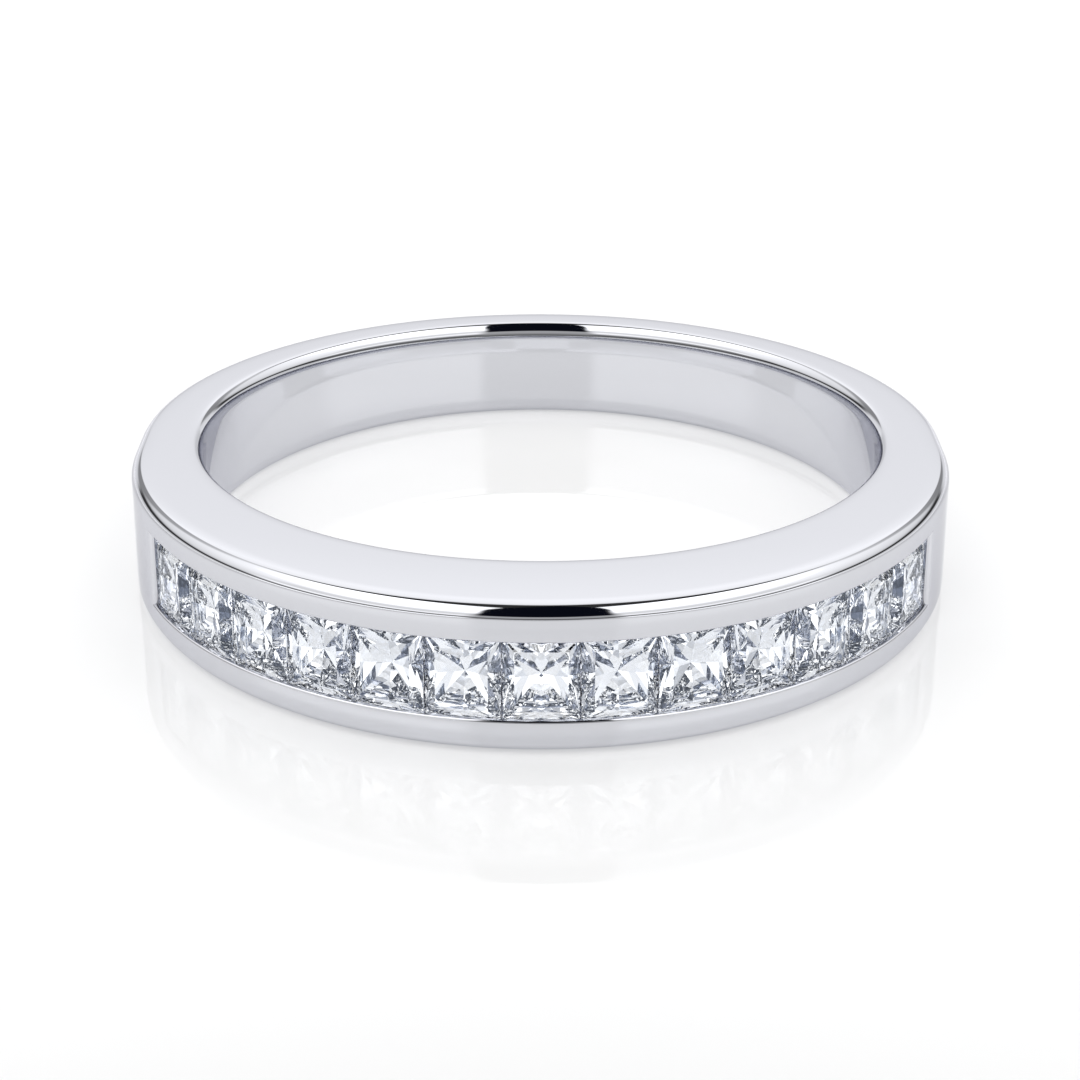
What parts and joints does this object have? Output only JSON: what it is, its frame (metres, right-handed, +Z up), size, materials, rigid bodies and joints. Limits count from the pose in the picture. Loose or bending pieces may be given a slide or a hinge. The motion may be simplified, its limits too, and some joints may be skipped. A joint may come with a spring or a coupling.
{
  "type": "channel set band",
  "caption": "Polished white metal finger ring, wider and thicker at the front, with a row of square cut stones held edge to edge in a channel between two plain rails.",
  "frame": {"origin": "centre of the object's box at the level of the surface that it lies on", "axes": "+Z is up, away from the flat side that the ring lies on and nearly along the finger; -Y points from the middle to the row of stones at the front; +X is to the right, seen from the front"},
  "size_m": [0.0204, 0.0217, 0.0035],
  "materials": {
    "white_gold": "mirror polished white gold with a bright plated surface",
    "diamond": "clear, colourless, faceted and polished"
  },
  "bodies": {
    "root": {"band": "white_gold", "stone_01": "diamond", "stone_02": "diamond", "stone_03": "diamond", "stone_04": "diamond", "stone_05": "diamond", "stone_06": "diamond", "stone_07": "diamond", "stone_08": "diamond", "stone_09": "diamond", "stone_10": "diamond", "stone_11": "diamond", "stone_12": "diamond", "stone_13": "diamond"}
  },
  "joints": []
}
